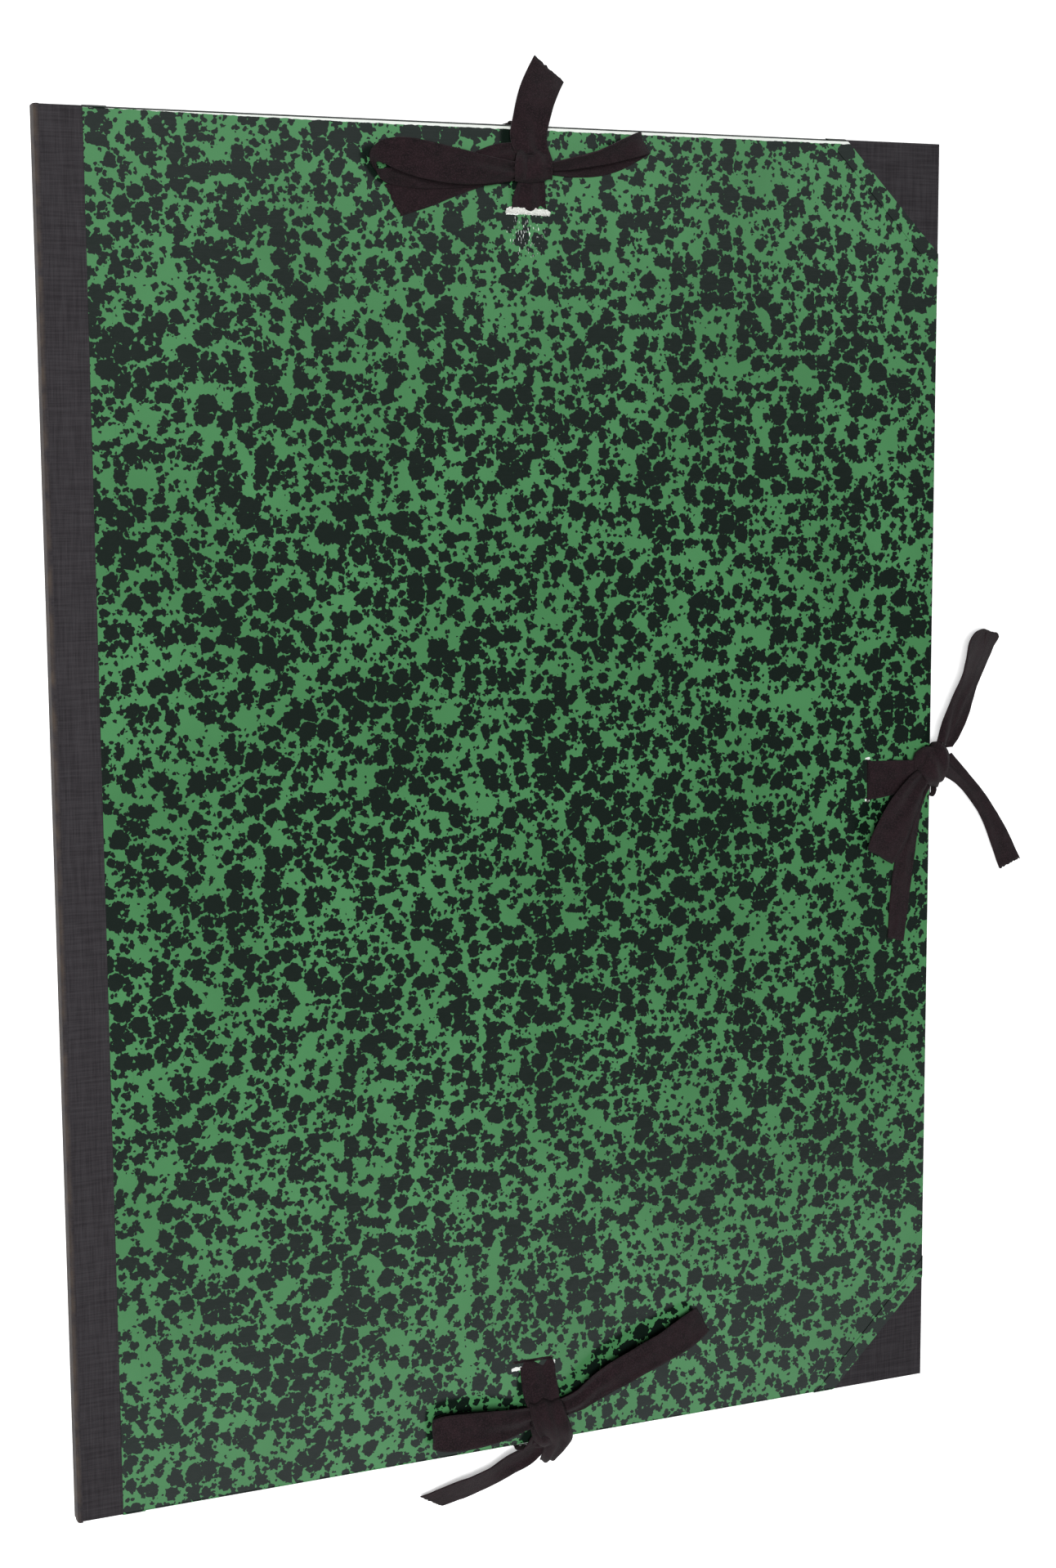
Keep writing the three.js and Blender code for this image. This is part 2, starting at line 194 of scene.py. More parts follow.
def blot_layer(nodes, place, cell, smallest, largest, share, offset):
    """How far inside the nearest blot of one size a point lies, in metres, below 0 outside."""
    shifted = nodes.vector("ADD", place, offset)
    cells = nodes.new("ShaderNodeTexVoronoi", {"Vector": shifted, "Scale": 1 / cell,
                                               "Randomness": 1.0},
                      voronoi_dimensions="2D", feature="F1")
    parts = nodes.new("ShaderNodeSeparateColor", {"Color": cells.outputs["Color"]})
    radius = nodes.remap(parts.outputs[0], 0, 1, smallest, largest)
    present = nodes.math("LESS_THAN", parts.outputs[1], share)
    distance = nodes.math("MULTIPLY", cells.outputs["Distance"], cell)
    inside = nodes.math("SUBTRACT", radius, distance)
    return nodes.math("SUBTRACT", inside, nodes.math("SUBTRACT", 1, present))


def seams(nodes, place, cell, width, offset):
    """Distance from the thin green seams between blots of one size, less the seams' width."""
    shifted = nodes.vector("ADD", place, offset)
    edges = nodes.new("ShaderNodeTexVoronoi", {"Vector": shifted, "Scale": 1 / cell,
                                               "Randomness": 1.0},
                      voronoi_dimensions="2D", feature="DISTANCE_TO_EDGE")
    distance = nodes.math("MULTIPLY", edges.outputs["Distance"], cell)
    return nodes.math("SUBTRACT", distance, width)


def waver(nodes, moved, place, size, detail, reach):
    """A place moved a little to and fro by noise of one size."""
    way = nodes.noise(place, size, detail, output="Color")
    way = nodes.vector("SUBTRACT", way, (0.5, 0.5, 0.5))
    return nodes.vector("ADD", moved, nodes.scaled(way, reach))


def marbling(nodes, place):
    """1 in the blots, 0 on the green ground."""
    bent = waver(nodes, place, place, 5 * MM, 3, 2.6 * MM)
    bent = waver(nodes, bent, place, 1.1 * MM, 2, 1.3 * MM)
    large = blot_layer(nodes, bent, LARGE_CELL, 1.6 * MM, 4.6 * MM, 0.84, LARGE_SHIFT)
    swell = nodes.remap(nodes.noise(place, 26 * MM, 2), 0.3, 0.7, -1.15 * MM, 0.95 * MM)
    large = nodes.math("ADD", large, swell)
    seam_width = nodes.remap(nodes.noise(place, 9 * MM, 1), 0.42, 0.6, -0.2 * MM, 0.32 * MM)
    large = nodes.math("MINIMUM", large, seams(nodes, bent, LARGE_CELL, seam_width, LARGE_SHIFT))
    middle = blot_layer(nodes, bent, MIDDLE_CELL, 0.8 * MM, 2.1 * MM, 0.62, MIDDLE_SHIFT)
    small = blot_layer(nodes, bent, SMALL_CELL, 0.3 * MM, 0.9 * MM, 0.36, SMALL_SHIFT)
    field = nodes.math("MAXIMUM", large, middle)
    lobes = nodes.new("ShaderNodeTexVoronoi", {"Vector": place, "Scale": 1 / LOBE_CELL,
                                               "Randomness": 1.0},
                      voronoi_dimensions="2D", feature="F1")
    scallop = nodes.remap(lobes.outputs["Distance"], 0.1, 0.9, 0.55 * MM, -0.7 * MM)
    field = nodes.math("MAXIMUM", nodes.math("ADD", field, scallop), small)
    return nodes.remap(field, -BLOT_EDGE, BLOT_EDGE, smooth=True)


def painted_head_edge_light(nodes, place):
    """A painted highlight along the front cover's head edge, and painted shade on the turn of the edge
    beyond it.
    """
    axes = nodes.new("ShaderNodeSeparateXYZ", {0: place})
    patchy = nodes.noise(place, 3 * MM, 3)
    width = nodes.remap(axes.outputs[0], -155 * MM, -70 * MM, 0.8 * MM, 1.75 * MM)
    width = nodes.math("ADD", width, nodes.remap(patchy, 0.3, 0.7, -0.2 * MM, 0.2 * MM))
    inner = nodes.math("GREATER_THAN", axes.outputs[1], nodes.math("SUBTRACT", HALF_HEIGHT, width))
    turn = nodes.math("GREATER_THAN", axes.outputs[1], HALF_HEIGHT - 0.75 * MM)
    front = nodes.math("GREATER_THAN", axes.outputs[2], THICKNESS / 2)
    return nodes.math("MULTIPLY", inner, front), nodes.math("MULTIPLY", turn, front)


def torn_lips(nodes, place):
    """Bare paper where the slits have torn, and the scratches below the top one."""
    axes = nodes.new("ShaderNodeSeparateXYZ", {0: waver(nodes, place, place, 1.6 * MM, 3, 1.5 * MM)})
    total = 0.0
    for left, right, low, high in TORN:
        inside = 1.0
        for axis, least, most in ((0, left, right), (1, low, high)):
            beyond = nodes.math("GREATER_THAN", axes.outputs[axis], least * MM)
            before = nodes.math("LESS_THAN", axes.outputs[axis], most * MM)
            inside = nodes.math("MULTIPLY", inside, nodes.math("MULTIPLY", beyond, before))
        total = nodes.math("MAXIMUM", inside, total)
    slanted = nodes.new("ShaderNodeMapping", {0: place, "Rotation": (0, 0, 0.35),
                                              "Scale": (2600, 420, 0)}).outputs[0]
    streaks = nodes.new("ShaderNodeTexNoise", {"Vector": slanted, "Scale": 1.0, "Detail": 1.0})
    spot = nodes.vector("MULTIPLY", nodes.vector("SUBTRACT", place, SCRATCH_SPOT), (1, 0.85, 1))
    away = nodes.new("ShaderNodeVectorMath", {0: spot}, operation="LENGTH").outputs["Value"]
    near = nodes.remap(away, 7.5 * MM, 1.5 * MM, 0.0, 0.085)
    scratched = nodes.math("GREATER_THAN", nodes.math("ADD", streaks.outputs["Fac"], near), 0.71)
    scratched = nodes.math("MULTIPLY", scratched, nodes.math("LESS_THAN", away, SCRATCH_REACH))
    total = nodes.math("MAXIMUM", total, scratched)
    front = nodes.math("GREATER_THAN", axes.outputs[2], THICKNESS / 2)
    return nodes.math("MULTIPLY", total, front)


def marbled_paper(nodes, place):
    dark = marbling(nodes, place)
    ground = nodes.mix(nodes.remap(nodes.noise(place, 60 * MM, 2), 0.35, 0.65), GREEN, GREEN_DEEP)
    printed = nodes.mix(dark, ground, BLOT_AND_EDGE_SHADE)
    # A painted highlight in white along the head edge, and painted shade in near black on the turn of
    # the edge beyond it
    painted_highlight, turned = painted_head_edge_light(nodes, place)
    printed = nodes.mix(painted_highlight, printed, PAPER_AND_HIGHLIGHT_WHITE)
    printed = nodes.mix(turned, printed, BLOT_AND_EDGE_SHADE)
    printed = nodes.mix(torn_lips(nodes, place), printed, PAPER_AND_HIGHLIGHT_WHITE)
    ripple = nodes.noise(place, 7 * MM, 2)
    grain = nodes.noise(place, 0.6 * MM, 1)
    brushed = nodes.new("ShaderNodeMapping", {0: place, "Scale": (60, 2200, 60)}).outputs[0]
    brushing = nodes.new("ShaderNodeTexNoise", {"Vector": brushed, "Scale": 1.0, "Detail": 2.0})
    normal = nodes.bump(ripple, 0.05 * MM)
    normal = nodes.bump(brushing.outputs["Fac"], 0.008 * MM, normal=normal)
    normal = nodes.bump(grain, 0.006 * MM, normal=normal)
    return {"Base Color": printed, "Roughness": 0.24, "IOR": 1.5, "Normal": normal}


# Book cloth: a plain weave of threads along X and Y

def weave(nodes, place, pitch):
    """Height of a plain weave."""
    wobble = nodes.scaled(nodes.noise(place, 9 * MM, 2, output="Color"), 0.5 * MM)
    bent = nodes.vector("ADD", place, wobble)
    axes = nodes.new("ShaderNodeSeparateXYZ", {0: bent})
    waves = []
    for axis in (0, 1):
        angle = nodes.math("MULTIPLY", axes.outputs[axis], math.pi / pitch)
        waves.append(nodes.math("ABSOLUTE", nodes.math("SINE", angle)))
    return nodes.math("MULTIPLY", nodes.math("ADD", waves[0], waves[1]), 0.5)


def thread_shade(nodes, place, pitch, along):
    """Uneven shade from thread to thread: fine across the threads, long along them."""
    sizes = [pitch * 1.3] * 3
    sizes[along] = 14 * MM
    scaled = nodes.vector("DIVIDE", place, tuple(sizes))
    node = nodes.new("ShaderNodeTexNoise", {"Vector": scaled, "Scale": 1.0, "Detail": 2.0})
    return node.outputs["Fac"]


CLOTH = rgba(57, 54, 57)
CLOTH_DARK = rgba(39, 36, 39)
CLOTH_WORN = rgba(80, 69, 59)


def book_cloth(nodes, place):
    height = weave(nodes, place, CLOTH_THREAD)
    warp = thread_shade(nodes, place, CLOTH_THREAD, 1)
    weft = thread_shade(nodes, place, CLOTH_THREAD, 0)
    shade = nodes.math("MULTIPLY", nodes.math("ADD", warp, weft), 0.5)
    colour = nodes.mix(nodes.remap(shade, 0.36, 0.64), CLOTH_DARK, CLOTH)
    # Painted shade: darker in the hollows of the weave between the threads
    colour = nodes.mix(nodes.remap(height, 0.15, 0.6, 0.45, 0.0), colour, CLOTH_DARK)
    axes = nodes.new("ShaderNodeSeparateXYZ", {0: place})
    patchy = nodes.noise(place, 6 * MM, 3)
    edge = nodes.remap(axes.outputs[0], -HALF_WIDTH + 1.6 * MM, -HALF_WIDTH + 0.2 * MM)
    worn = nodes.math("MULTIPLY", edge, nodes.remap(patchy, 0.3, 0.65))
    colour = nodes.mix(nodes.math("MULTIPLY", worn, 0.6), colour, CLOTH_WORN)
    normal = nodes.bump(height, 0.09 * MM)
    return {"Base Color": colour, "Roughness": 0.6, "Specular IOR Level": 0.1, "Normal": normal}


# Ribbon: a fine woven tape with its own map, across and along it in metres

RIBBON = rgba(34, 21, 25)
RIBBON_LIGHT = rgba(52, 36, 41)
RIBBON_DARK = rgba(20, 12, 15)


def ribbon_cloth(nodes, place):
    along = nodes.new("ShaderNodeUVMap", uv_map="tape").outputs[0]
    axes = nodes.new("ShaderNodeSeparateXYZ", {0: along})
    waves = []
    for axis in (0, 1):
        angle = nodes.math("MULTIPLY", axes.outputs[axis], 2 * math.pi / RIBBON_THREAD)
        waves.append(nodes.math("SINE", angle))
    height = nodes.math("MULTIPLY", waves[0], waves[1])
    cloudy = nodes.noise(place, 5 * MM, 3)
    fibre = nodes.noise(place, 0.5 * MM, 2)
    colour = nodes.mix(nodes.remap(cloudy, 0.35, 0.65), RIBBON_DARK, RIBBON)
    colour = nodes.mix(nodes.remap(fibre, 0.45, 0.7, 0.0, 0.9), colour, RIBBON_LIGHT)
    # Painted shade: darker in the hollows of the weave
    colour = nodes.mix(nodes.remap(height, 0.0, -0.8, 0.0, 0.5), colour, RIBBON_DARK)
    normal = nodes.bump(height, 0.08 * MM)
    normal = nodes.bump(fibre, 0.08 * MM, normal=normal)
    return {"Base Color": colour, "Roughness": 0.75, "Specular IOR Level": 0.15, "Normal": normal,
            "Sheen Weight": 0.04, "Sheen Roughness": 0.5}


# The inside, and bare board and paper

LINING = rgba(228, 222, 206)
LINING_LIGHT = rgba(238, 234, 222)
LINING_FIBRE = rgba(205, 196, 176)
BOARD = rgba(118, 114, 108)
BOARD_LIGHT = rgba(150, 146, 138)
TORN_PAPER = rgba(196, 197, 190)
TORN_PAPER_LIGHT = rgba(238, 238, 232)


def lining_paper(nodes, place):
    fibre = nodes.noise(place, 1.5 * MM, 4)
    cloudy = nodes.noise(place, 40 * MM, 2)
    colour = nodes.mix(nodes.remap(cloudy, 0.3, 0.7), LINING, LINING_LIGHT)
    colour = nodes.mix(nodes.remap(fibre, 0.55, 0.8, 0.0, 0.3), colour, LINING_FIBRE)
    return {"Base Color": colour, "Roughness": 0.8, "Normal": nodes.bump(fibre, 0.02 * MM)}


def greyboard(nodes, place):
    fibre = nodes.noise(place, 0.8 * MM, 4)
    colour = nodes.mix(nodes.remap(fibre, 0.35, 0.7), BOARD, BOARD_LIGHT)
    return {"Base Color": colour, "Roughness": 0.9, "Normal": nodes.bump(fibre, 0.05 * MM)}


def torn_paper(nodes, place):
    fibre = nodes.noise(place, 0.5 * MM, 3)
    colour = nodes.mix(nodes.remap(fibre, 0.4, 0.7), TORN_PAPER, TORN_PAPER_LIGHT)
    return {"Base Color": colour, "Roughness": 0.9, "Normal": nodes.bump(fibre, 0.1 * MM)}


TORN_MATERIAL = surface("torn_paper", torn_paper)

SLOT_MATERIALS = {
    "marbled_paper": surface("marbled_paper", marbled_paper),
    "book_cloth": surface("book_cloth", book_cloth),
    "ribbon": surface("ribbon", ribbon_cloth),
    "lining_paper": surface("lining_paper", lining_paper),
    "greyboard": surface("greyboard", greyboard),
}


def dress_nodes():
    """Give each CAD node the material of its slot."""
    for entry in frame["record"]["subparts"]:
        node = frame["nodes"][entry["node"]]
        node.data.materials.clear()
        node.data.materials.append(SLOT_MATERIALS[entry["material_slot"]])


dress_nodes()


# Ribbons: each length is a band between two edge lines, given in its tie's own frame in millimetres,
# X across the ribbon at its slit, Y out over the edge and Z up from the cover's face

WOVEN_WIDTH = 16
HALF_RIBBON = 8
SELVEDGE = 0.25
SELVEDGE_FADE = 24
WRINKLE_SIZE = 9

# How far each ribbon's glued end goes on behind its slit, and how deep under the face it lies
GLUED_END = 22
GLUED_DEPTH = 1.55

# Each tie's place at the cover's edge, its turn in degrees, and how far in from the edge its slit is
TIES = {
    "top": ((2.2, 260.0), 0.0, 31.6),
    "side": ((185.0, 0.9), -90.0, 30.3),
    "bottom": ((1.4, -260.0), 180.0, 34.9),
}


def smooth_rows(rows, spacing):
    """Rows on a smooth path through the given ones, about spacing apart."""
    middle = (rows[:, :3] + rows[:, 3:]) / 2
    gaps = np.linalg.norm(np.diff(middle, axis=0), axis=1)
    knots = np.concatenate([[0], np.cumsum(np.sqrt(gaps))])
    rows = np.vstack([2 * rows[0] - rows[1], rows, 2 * rows[-1] - rows[-2]])
    knots = np.concatenate([[2 * knots[0] - knots[1]], knots, [2 * knots[-1] - knots[-2]]])
    found = []
    for i in range(1, len(rows) - 2):
        steps = max(2, round(gaps[i - 1] / spacing))
        p0, p1, p2, p3 = rows[i - 1:i + 3]
        t0, t1, t2, t3 = knots[i - 1:i + 3]
        for t in np.linspace(t1, t2, steps, endpoint=False):
            a1 = ((t1 - t) * p0 + (t - t0) * p1) / (t1 - t0)
            a2 = ((t2 - t) * p1 + (t - t1) * p2) / (t2 - t1)
            a3 = ((t3 - t) * p2 + (t - t2) * p3) / (t3 - t2)
            b1 = ((t2 - t) * a1 + (t - t0) * a2) / (t2 - t0)
            b2 = ((t3 - t) * a2 + (t - t1) * a3) / (t3 - t1)
            found.append(((t2 - t) * b1 + (t - t1) * b2) / (t2 - t1))
    found.append(rows[-2])
    return np.array(found)


def straight_rows(rows, spacing):
    """Rows on straight lines between the given ones, about spacing apart."""
    found = []
    for first, last in zip(rows, rows[1:]):
        steps = max(1, round(np.linalg.norm(last[:3] - first[:3]) / spacing))
        found += [first + (last - first) * k / steps for k in range(steps)]
    found.append(rows[-1])
    return np.array(found)


class Tape:
    """A mesh made of lengths of ribbon in one tie's frame."""

    columns = 16

    def __init__(self, tie, height=8.0):
        at, turn, self.inset = TIES[tie]
        turned = Matrix.Rotation(math.radians(turn), 4, "Z")
        self.frame = Matrix.Translation((at[0], at[1], height)) @ turned
        self.points = []
        self.faces = []
        self.map = []
        self.area = 0.0

    def add_sheet(self, grid, normals, thickness, across, along):
        """Two skins, thicker at the woven edges, and a rim about a grid of points."""
        rows, columns = grid.shape[:2]
        base = len(self.points)
        side = np.linspace(0, 1, columns)
        rim = 1 + SELVEDGE * (np.exp(-side * SELVEDGE_FADE) + np.exp(-(1 - side) * SELVEDGE_FADE))
        for sign in (1, -1):
            skin = grid + normals * (sign * thickness / 2 * rim)[None, :, None]
            self.points += skin.reshape(-1, 3).tolist()
            for r in range(rows):
                self.map += [(across[c], along[r]) for c in range(columns)]
        under = base + rows * columns
        for r in range(rows - 1):
            for c in range(columns - 1):
                a, b = r * columns + c, (r + 1) * columns + c
                self.faces.append((base + a, base + a + 1, base + b + 1, base + b))
                self.faces.append((under + a, under + b, under + b + 1, under + a + 1))
        loop = list(range(columns))
        loop += [r * columns + columns - 1 for r in range(1, rows)]
        loop += [(rows - 1) * columns + c for c in range(columns - 2, -1, -1)]
        loop += [r * columns for r in range(rows - 2, 0, -1)]
        for a, b in zip(loop, loop[1:] + loop[:1]):
            self.faces.append((base + b, base + a, under + a, under + b))

    def lay(self, rails, thickness=0.45, folds=1.5, seed=0.0, bulge=0.0, wrinkle=0.3, lowest=0.3,
            cut=0.0, smooth=True, surplus=16.2, gather=16.0, deepest=1.3):
        """A length of ribbon along rails, in folds near the knot, where its edges are drawn together.

        It has some folds across it, no deeper than deepest, which fade over the length gather. The
        woven width surplus sets how deep they are. A cut end is ragged by cut.
        """
        rows = np.array(rails, float).reshape(len(rails), 6)
        rows = smooth_rows(rows, 1.3) if smooth else straight_rows(rows, 1.6)
        start, end = rows[:, :3], rows[:, 3:]
        middle = (start + end) / 2
        run = np.concatenate([[0], np.cumsum(np.linalg.norm(np.diff(middle, axis=0), axis=1))])
        chord = end - start
        width = np.linalg.norm(chord, axis=1)
        normals = np.cross(np.gradient(middle, axis=0), chord)
        normals /= np.linalg.norm(normals, axis=1)[:, None]
        depth = width / (math.pi * folds) * np.sqrt(np.maximum(surplus / width - 1, 0))
        is_loop = np.allclose(middle[0], middle[-1], atol=9)
        from_knot = np.minimum(run, run[-1] - run) if is_loop else run
        depth = np.minimum(depth, deepest) * np.exp(-from_knot / gather)
        side = np.linspace(0, 1, self.columns)
        grid = np.zeros((len(rows), self.columns, 3))
        for r in range(len(rows)):
            phase = seed * 1.7 + run[r] * 0.05
            for c, s in enumerate(side):
                flat = start[r] + chord[r] * s
                rise = depth[r] * math.sin(2 * math.pi * folds * s + phase)
                rise += bulge * (1 - (2 * s - 1) ** 2)
                spot = Vector((s * WOVEN_WIDTH / WRINKLE_SIZE, run[r] / WRINKLE_SIZE, seed * 7.3))
                rise += wrinkle * (mnoise.noise(spot) + 0.5 * mnoise.noise(spot * 2.7))
                grid[r, c] = flat + normals[r] * rise
        if cut:
            outward = middle[-1] - middle[-2]
            outward /= np.linalg.norm(outward)
            for c in range(self.columns):
                grid[-1, c] += outward * cut * mnoise.noise(Vector((c * 0.9, seed, 3.1)))
        on_cover = (grid[:, :, 1] < 0.4) & (grid[:, :, 2] < lowest)
        grid[:, :, 2] = np.where(on_cover, lowest, grid[:, :, 2])
        fine = np.cross(np.gradient(grid, axis=0), np.gradient(grid, axis=1))
        size = np.linalg.norm(fine, axis=2)
        self.area += float(size[:-1, :-1].sum())
        size = size[:, :, None]
        fine = np.where(size > 1e-6, fine / np.maximum(size, 1e-6), normals[:, None, :])
        self.add_sheet(grid, fine, thickness, side * WOVEN_WIDTH * MM, run * MM)

    def lump(self, centre, radii, seed):
        """The bunched cloth inside a knot."""
        base = len(self.points)
        rings = 12
        around = 20
        for r in range(rings + 1):
            polar = math.pi * r / rings
            for a in range(around):
                turn = 2 * math.pi * a / around
                level = math.sin(polar)
                way = Vector((level * math.cos(turn), level * math.sin(turn), math.cos(polar)))
                grow = 1 + 0.12 * mnoise.noise(way * 2.2 + Vector((seed, 0, 0)))
                self.points.append([centre[i] + radii[i] * way[i] * grow for i in range(3)])
                self.map.append((WOVEN_WIDTH * MM * a / around, 20 * MM * r / rings))
        for r in range(rings):
            for a in range(around):
                b = (a + 1) % around
                top, low = base + r * around, base + (r + 1) * around
                self.faces.append((top + a, low + a, low + b, top + b))

    def finish(self, name, body, replaced):
        """The mesh as one piece of the model."""
        mesh = bpy.data.meshes.new(name)
        world = [self.frame @ Vector(point) for point in self.points]
        mesh.from_pydata([tuple(point * MM) for point in world], [], self.faces)
        layer = mesh.uv_layers.new(name="tape")
        for loop in mesh.loops:
            layer.data[loop.index].uv = self.map[loop.vertex_index]
        mesh.shade_smooth()
        mesh.materials.append(SLOT_MATERIALS["ribbon"])
        piece = bpy.data.objects.new(name, mesh)
        bpy.context.collection.objects.link(piece)
        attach(piece, body)
        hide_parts(*replaced)


def pair(half, y, z, x=0.0):
    """A station straight across the ribbon."""
    return [[x - half, y, z], [x + half, y, z]]


# Centre and half sizes of the cloth bunched in each knot
KNOTS = {
    "top": ([-0.5, -16.5, 4.4], [7.6, 5.6, 3.8]),
    "side": ([-7.0, -3.6, 4.4], [7.0, 7.6, 3.8]),
    "bottom": ([-4.6, -8.0, 4.4], [7.6, 8.6, 3.8]),
}

# Stations of the ribbons as seen in the photo. A station is the left and right edge of the ribbon, each
# across and down in the photo enlarged PICK_SCALE times, counted from its tie's corner, then the
# height of both edges in millimetres over the cover's face
PICK_SCALE = 3.5
PICK_CORNERS = {"top": (400, 40), "side": (980, 740), "bottom": (480, 1540)}

# The loops, tails and wrapped band of each bow, from the knot outwards
BOWS = {
    "top": {
        "left_loop": [
            (808, 556, 806, 634, 5.5, 5), (760, 545, 755, 640, 7, 6.5),
            (690, 528, 690, 646, 8.5, 8), (600, 503, 600, 649, 10, 9),
            (510, 481, 505, 641, 11, 10), (430, 461, 425, 626, 11.5, 10),
            (350, 447, 345, 603, 11, 9.5), (285, 447, 288, 580, 10, 8.5),
            (225, 463, 238, 556, 8, 7), (188, 500, 212, 552, 5.5, 5.5),
            (184, 548, 214, 582, 3.6, 3.8), (212, 580, 240, 632, 2, 2.2),
            (290, 575, 300, 655, 1.8, 1.8), (400, 590, 410, 668, 1.8, 1.8),
            (540, 585, 550, 664, 1.8, 1.8), (680, 580, 690, 652, 2, 2),
            (800, 580, 800, 632, 3, 3),
        ],
        "left_tail": [
            (800, 470, 806, 590, 3.6, 3), (720, 478, 735, 620, 2.2, 1.8),
            (625, 513, 655, 660, 1.2, 1), (500, 560, 545, 702, 0.7, 0.6),
            (380, 603, 438, 745, 0.5, 0.5), (246, 650, 318, 785, 0.5, 0.5),
        ],
        "right_loop": [
            (965, 552, 962, 598, 6.5, 5), (1050, 533, 1050, 589, 8.5, 7),
            (1120, 518, 1120, 578, 9.5, 7.5), (1200, 490, 1200, 563, 9.5, 7.5),
            (1280, 451, 1285, 543, 8.5, 7), (1335, 428, 1352, 526, 7, 5.5),
            (1352, 427, 1376, 521, 4.5, 3.2), (1325, 450, 1345, 543, 2, 1.4),
            (1250, 480, 1262, 588, 1, 1), (1160, 505, 1165, 615, 0.9, 0.9),
            (1050, 535, 1055, 619, 0.9, 0.9), (965, 558, 965, 606, 2.2, 2),
        ],
        "up_tail": [
            (812, 520, 948, 520, 6, 6), (789, 450, 938, 455, 5.6, 5.6),
            (797, 355, 962, 345, 4.4, 4), (833, 212, 990, 260, 1.2, 0.8),
            (889, 95, 1013, 212, -2, -2),
        ],
        "band": [
            (808, 640, 962, 636, 2, 2), (806, 636, 966, 630, 6, 6),
            (806, 592, 968, 590, 9, 8.6), (808, 545, 968, 548, 9, 8.4),
            (816, 508, 952, 506, 6.4, 6), (822, 500, 945, 498, 2.5, 2.5),
        ],
    },
    "side": {
        "head_loop": [
            (588, 585, 632, 605, 5.5, 4.5), (600, 520, 655, 545, 5.5, 4),
            (630, 440, 678, 450, 5, 2.5), (658, 372, 705, 390, 4.5, 2),
            (692, 300, 740, 315, 5, 0), (708, 225, 762, 240, 5, -1.5),
            (722, 160, 790, 178, 4, -2.5), (755, 112, 830, 120, 2.5, -3.5),
            (790, 106, 848, 135, 0, -5), (775, 180, 826, 172, -1.5, -6),
            (745, 250, 797, 240, -2, -6.5), (715, 330, 760, 328, -2, -6.2),
            (690, 400, 738, 392, -2, -5.4), (660, 480, 710, 480, -1.5, -4),
            (620, 560, 668, 570, 0.5, -1.5), (600, 600, 640, 610, 2.5, 1.5),
        ],
        "right_tail": [
            (600, 725, 638, 632, 3.5, 3.5), (665, 765, 712, 717, 1, 0.5),
            (725, 835, 780, 800, -1.5, -2), (775, 918, 838, 888, -3.5, -4),
            (812, 1020, 886, 975, -5.2, -5.6), (850, 1128, 936, 1081, -6.8, -6.8),
        ],
        "tail_loop": [
            (505, 705, 548, 745, 6, 6), (455, 750, 520, 800, 7.5, 7.5),
            (400, 815, 500, 868, 8.5, 8.5), (358, 880, 478, 930, 8.5, 8.5),
            (325, 945, 452, 995, 8, 8), (300, 1000, 425, 1050, 6.5, 6.5),
            (287, 1045, 395, 1103, 4, 4), (300, 1050, 392, 1108, 1.8, 1.8),
            (345, 985, 440, 1035, 1.4, 1.4), (400, 880, 480, 930, 1.4, 1.4),
            (470, 780, 520, 810, 2.4, 2.4),
        ],
        "tail_along": [
            (525, 760, 560, 758, 2.6, 2.6), (480, 850, 520, 862, 0.9, 0.9),
            (440, 960, 500, 968, 0.6, 0.6), (405, 1085, 482, 1092, 0.5, 0.5),
            (385, 1215, 466, 1222, 0.5, 0.5), (372, 1425, 438, 1440, 0.5, 0.5),
        ],
        "band": [
            (500, 690, 575, 590, 2, 2), (496, 696, 600, 590, 6, 6),
            (520, 724, 628, 625, 8.4, 8.4), (545, 765, 632, 680, 7.2, 7),
            (556, 778, 612, 731, 3.8, 3.6), (560, 782, 600, 740, 1.4, 1.2),
        ],
    },
    "bottom": {
        "left_loop": [
            (600, 640, 600, 722, 5.5, 5.5), (520, 648, 522, 758, 7.6, 7.6),
            (420, 656, 422, 795, 8.8, 8.6), (310, 666, 312, 820, 8.6, 8.2),
            (225, 676, 228, 826, 6.6, 6.2), (172, 690, 176, 816, 3.8, 3.8),
            (215, 668, 225, 800, 1.4, 1.4), (400, 655, 402, 785, 1, 1),
            (570, 650, 572, 730, 2, 2),
        ],
        "right_loop": [
            (712, 600, 745, 672, 4.6, 5), (790, 562, 822, 645, 6, 6.2),
            (870, 492, 905, 582, 7.2, 7.4), (960, 430, 1000, 540, 8, 8),
            (1060, 372, 1105, 478, 8.2, 7.8), (1160, 310, 1205, 425, 7.4, 6.8),
            (1250, 245, 1300, 362, 5.8, 5), (1300, 208, 1355, 305, 3.4, 3),
            (1240, 270, 1290, 350, 1.4, 1.3), (1100, 355, 1145, 455, 0.9, 0.9),
            (950, 440, 990, 540, 0.9, 0.9), (820, 540, 850, 620, 1, 1),
            (720, 600, 745, 665, 2.2, 2.2),
        ],
        "tail": [
            (615, 760, 672, 800, 3, 3), (560, 802, 600, 868, 1, -0.4),
            (480, 850, 515, 915, -0.4, -3.4), (400, 905, 425, 968, -1, -6),
            (290, 952, 305, 1022, -1.6, -6.9), (118, 1018, 212, 1057, -5.5, -7),
        ],
        "band": [
            (590, 622, 715, 600, 2.4, 2.4), (588, 632, 725, 612, 6.4, 6.4),
            (596, 680, 745, 665, 8.6, 8.6), (620, 742, 766, 725, 8, 7.8),
            (648, 790, 768, 772, 5.2, 4.8), (640, 850, 722, 825, 1, 0.6),
            (632, 862, 700, 845, -2, -2), (640, 838, 704, 822, -5, -5),
        ],
    },
}


# How many waves each gathered length has across it, where it isn't one and a half
FOLDS = {("top", "right_loop"): 0.5, ("side", "head_loop"): 1.0, ("bottom", "tail"): 1.0}


